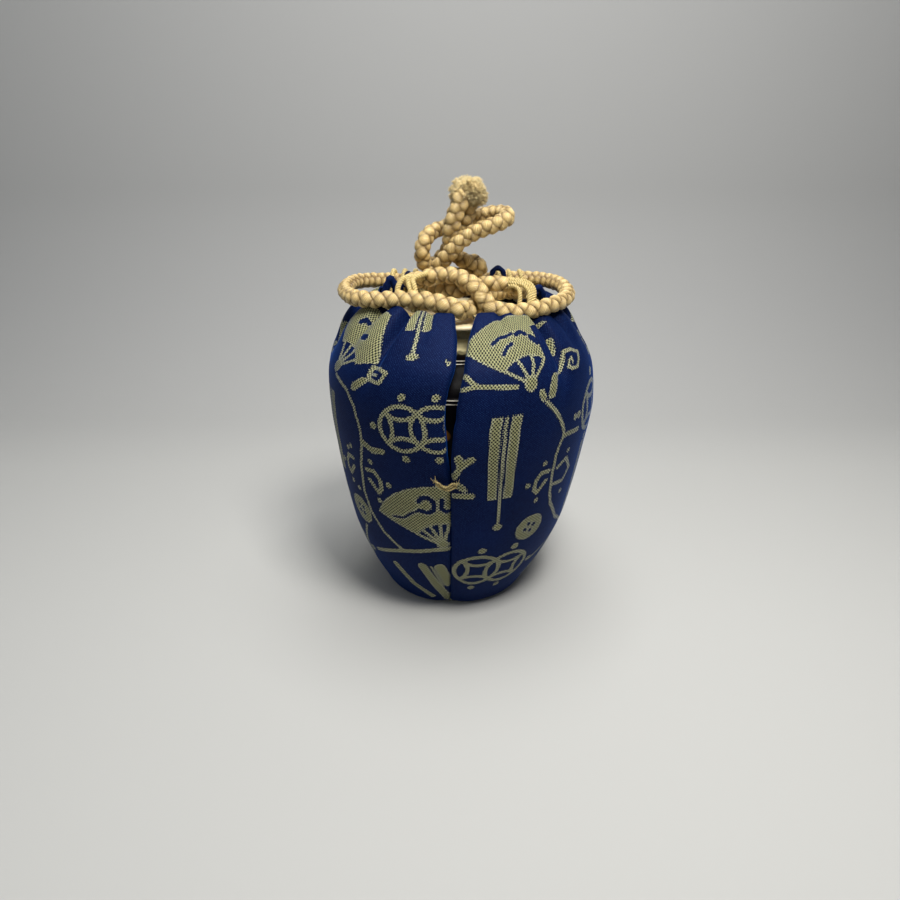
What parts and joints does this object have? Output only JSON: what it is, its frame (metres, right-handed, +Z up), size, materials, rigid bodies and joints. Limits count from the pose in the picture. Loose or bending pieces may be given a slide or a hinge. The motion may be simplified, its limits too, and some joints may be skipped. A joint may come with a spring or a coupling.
{
  "type": "tea caddy in a drawstring pouch",
  "caption": "Padded brocade drawstring pouch tied round a glazed tea caddy with an ivory-coloured lid, open at a side slit.",
  "frame": {"origin": "middle of the pouch's round base, on the surface it stands on", "axes": "+Z up, the pouch's height; -Y out of the front side slit, which faces the camera; +X to the right half"},
  "size_m": [0.0672, 0.0684, 0.1039],
  "materials": {
    "brocade": "navy satin weave with olive-gold figured weft",
    "padding": "cotton wadding",
    "lining": "plain dark silk",
    "gold_thread": "twisted gold silk thread",
    "cord_silk": "round braided silk, cream gold",
    "glaze": "black iron glaze on stoneware, opaque, cream slip at the neck",
    "ivory": "ivory substitute, polished",
    "gold_leaf": "gold leaf"
  },
  "bodies": {
    "pouch": {"brocade_left_lower": "brocade", "brocade_right_lower": "brocade", "brocade_base": "brocade", "padding_left_lower": "padding", "padding_right_lower": "padding", "padding_base": "padding", "lining_left_lower": "lining", "lining_right_lower": "lining", "lining_base": "lining", "bar_tack_front": "gold_thread", "bar_tack_back": "gold_thread", "drawstring_cord": "cord_silk", "end_tuft": "cord_silk", "end_binding": "gold_thread", "caddy_body": "glaze"},
    "left_half": {"brocade_left_upper": "brocade", "padding_left_upper": "padding", "lining_left_upper": "lining", "edge_loops_left": "gold_thread"},
    "right_half": {"brocade_right_upper": "brocade", "padding_right_upper": "padding", "lining_right_upper": "lining", "edge_loops_right": "gold_thread"},
    "lid": {"caddy_lid": "ivory", "lid_gold_leaf": "gold_leaf"}
  },
  "joints": [
    {"name": "left_half_ease", "type": "slide", "parent": "pouch", "child": "left_half", "axis": [-1, 0, 0], "range_m": [0, 0.0035], "deforming": ["drawstring_cord"]},
    {"name": "right_half_ease", "type": "slide", "parent": "pouch", "child": "right_half", "axis": [1, 0, 0], "range_m": [0, 0.0035], "deforming": ["drawstring_cord"]},
    {"name": "lid_lift", "type": "slide", "parent": "pouch", "child": "lid", "axis": [0, 0, 1], "range_m": [0, 0.0005]}
  ]
}
